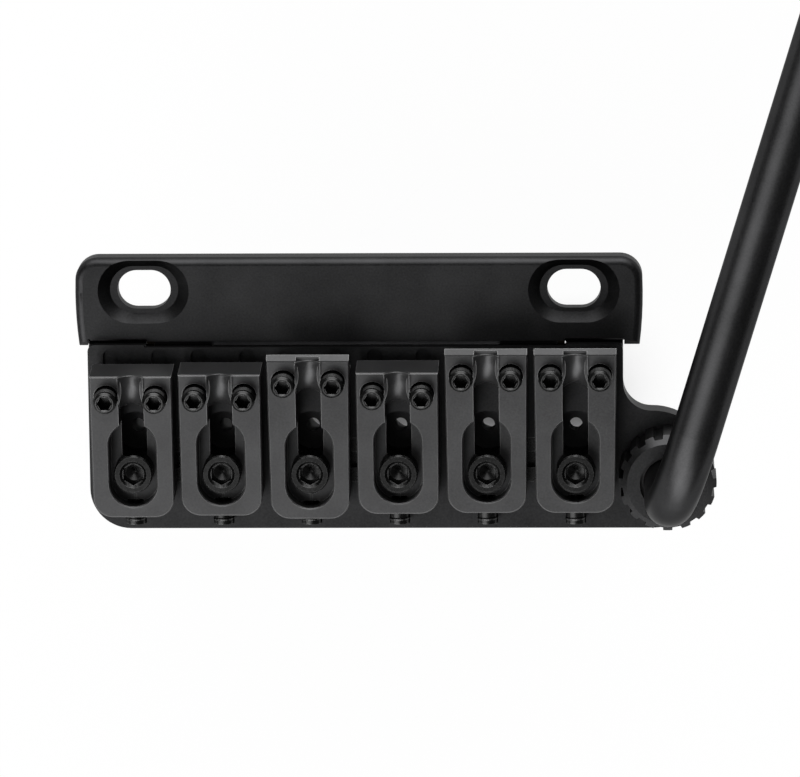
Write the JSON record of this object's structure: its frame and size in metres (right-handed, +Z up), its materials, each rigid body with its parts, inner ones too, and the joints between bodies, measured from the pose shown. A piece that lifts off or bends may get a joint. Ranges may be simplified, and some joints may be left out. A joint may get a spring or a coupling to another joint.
{
  "type": "guitar tremolo bridge",
  "caption": "Hinged guitar tremolo bridge: slotted mounting plate, base plate with adjustable locking saddles, inertia block and a swinging arm in a notched torque ring.",
  "frame": {"origin": "midway between the two stud slots, on the mounting plate's underside, which sits on the guitar", "axes": "+Z up from the guitar's top, +Y along the strings towards the neck, +X towards the arm's side"},
  "size_m": [0.1176, 0.1518, 0.0804],
  "materials": {
    "plate_black": "satin black",
    "saddle_black": "satin black",
    "screw_black": "black oxide",
    "block_black": "satin black",
    "ring_black": "satin black",
    "arm_black": "satin black",
    "polished_steel": "ground",
    "bronze": "sintered",
    "collet_plastic": "black"
  },
  "bodies": {
    "mounting": {"mounting_plate": "plate_black", "pivot_shaft": "polished_steel", "shaft_screws": "screw_black"},
    "bridge": {"base_plate": "plate_black", "pivot_bushes": "bronze", "inertia_block": "block_black", "block_screws": "screw_black", "lock_screws": "screw_black", "intonation_screws": "screw_black", "arm_socket": "ring_black", "arm_collet": "collet_plastic"},
    "arm": {"tremolo_arm": "arm_black"},
    "ring": {"torque_ring": "ring_black"},
    "height_screws_one": {"height_screws_one": "screw_black"},
    "saddle_one": {"saddle_one": "saddle_black"},
    "height_screws_two": {"height_screws_two": "screw_black"},
    "saddle_two": {"saddle_two": "saddle_black"},
    "height_screws_three": {"height_screws_three": "screw_black"},
    "saddle_three": {"saddle_three": "saddle_black"},
    "height_screws_four": {"height_screws_four": "screw_black"},
    "saddle_four": {"saddle_four": "saddle_black"},
    "height_screws_five": {"height_screws_five": "screw_black"},
    "saddle_five": {"saddle_five": "saddle_black"},
    "height_screws_six": {"height_screws_six": "screw_black"},
    "saddle_six": {"saddle_six": "saddle_black"}
  },
  "joints": [
    {"name": "bridge_tilt", "type": "hinge", "parent": "mounting", "child": "bridge", "pos_m": [-0.0004, -0.0086, 0.0023], "axis": [1, 0, 0], "range_deg": [-14, 4], "stiffness_Nm_per_rad": 4},
    {"name": "arm_swing", "type": "hinge", "parent": "bridge", "child": "arm", "pos_m": [0.0378, -0.02235, 0.0054], "axis": [0, 0, 1], "continuous": true},
    {"name": "torque_ring_turn", "type": "hinge", "parent": "bridge", "child": "ring", "pos_m": [0.0378, -0.02235, 0.0054], "axis": [0, 0, 1], "range_deg": [-90, 90]},
    {"name": "intonation_one", "type": "slide", "parent": "bridge", "child": "height_screws_one", "axis": [0, 1, 0], "range_m": [-0.00054, 0.00123]},
    {"name": "height_one", "type": "hinge", "parent": "height_screws_one", "child": "saddle_one", "pos_m": [-0.0274, -0.0262, 0.0081], "axis": [1, 0, 0], "range_deg": [-3, 0.8]},
    {"name": "intonation_two", "type": "slide", "parent": "bridge", "child": "height_screws_two", "axis": [0, 1, 0], "range_m": [-0.00074, 0.00103]},
    {"name": "height_two", "type": "hinge", "parent": "height_screws_two", "child": "saddle_two", "pos_m": [-0.0166, -0.026, 0.0081], "axis": [1, 0, 0], "range_deg": [-3, 0.8]},
    {"name": "intonation_three", "type": "slide", "parent": "bridge", "child": "height_screws_three", "axis": [0, 1, 0], "range_m": [-0.00034, 0.00091]},
    {"name": "height_three", "type": "hinge", "parent": "height_screws_three", "child": "saddle_three", "pos_m": [-0.0058, -0.0264, 0.0081], "axis": [1, 0, 0], "range_deg": [-3, 0.8]},
    {"name": "intonation_four", "type": "slide", "parent": "bridge", "child": "height_screws_four", "axis": [0, 1, 0], "range_m": [-0.00094, 0.00083]},
    {"name": "height_four", "type": "hinge", "parent": "height_screws_four", "child": "saddle_four", "pos_m": [0.005, -0.0258, 0.0081], "axis": [1, 0, 0], "range_deg": [-3, 0.8]},
    {"name": "intonation_five", "type": "slide", "parent": "bridge", "child": "height_screws_five", "axis": [0, 1, 0], "range_m": [-0.00104, 0.00021]},
    {"name": "height_five", "type": "hinge", "parent": "height_screws_five", "child": "saddle_five", "pos_m": [0.0158, -0.0257, 0.0081], "axis": [1, 0, 0], "range_deg": [-3, 0.8]},
    {"name": "intonation_six", "type": "slide", "parent": "bridge", "child": "height_screws_six", "axis": [0, 1, 0], "range_m": [-0.00104, 0.00021]},
    {"name": "height_six", "type": "hinge", "parent": "height_screws_six", "child": "saddle_six", "pos_m": [0.0266, -0.0257, 0.0081], "axis": [1, 0, 0], "range_deg": [-3, 0.8]}
  ]
}
